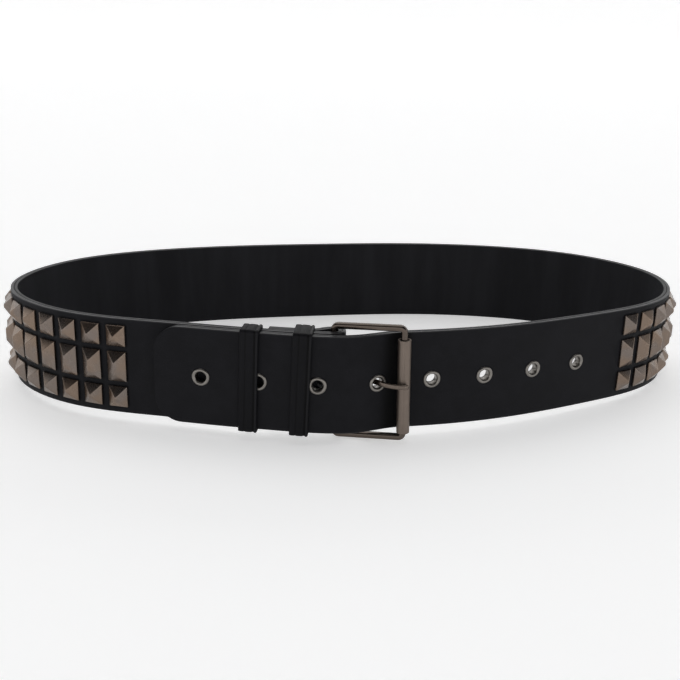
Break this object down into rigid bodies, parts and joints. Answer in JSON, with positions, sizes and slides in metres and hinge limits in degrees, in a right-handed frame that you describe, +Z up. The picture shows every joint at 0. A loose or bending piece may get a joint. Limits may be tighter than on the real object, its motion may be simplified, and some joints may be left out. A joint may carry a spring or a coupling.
{
  "type": "studded leather belt",
  "caption": "Black leather belt fastened in its roller buckle and standing on edge as an open loop, with pyramid studs round the back and metal eyelets along the tip end.",
  "frame": {"origin": "middle of the belt's outline seen from above, at the floor it stands on", "axes": "+X along the long way of the loop, to the right as the buckle is faced; +Y from the buckle at the front to the back; +Z up"},
  "size_m": [0.3856, 0.2136, 0.0609],
  "materials": {
    "black_leather": "smooth semi-matt black leather",
    "lining_leather": "plain matt black lining leather",
    "gunmetal": "polished dark gunmetal plate",
    "eyelet_metal": "polished grey nickel plate"
  },
  "bodies": {
    "belt": {"strap_outer": "black_leather", "strap_lining": "lining_leather", "buckle_frame": "gunmetal", "buckle_prong": "gunmetal", "keeper_by_tip": "black_leather", "keeper_by_buckle": "black_leather", "eyelet_1": "eyelet_metal", "eyelet_2": "eyelet_metal", "eyelet_3": "eyelet_metal", "eyelet_4": "eyelet_metal", "eyelet_5": "eyelet_metal", "eyelet_6": "eyelet_metal", "eyelet_7": "eyelet_metal", "eyelet_8": "eyelet_metal"},
    "roller": {"buckle_roller": "gunmetal"}
  },
  "joints": [
    {"name": "roller_spin", "type": "hinge", "parent": "belt", "child": "roller", "pos_m": [0.02578, -0.09796, 0.02948], "axis": [-0.0294, 0.0338, 0.999], "continuous": true}
  ]
}
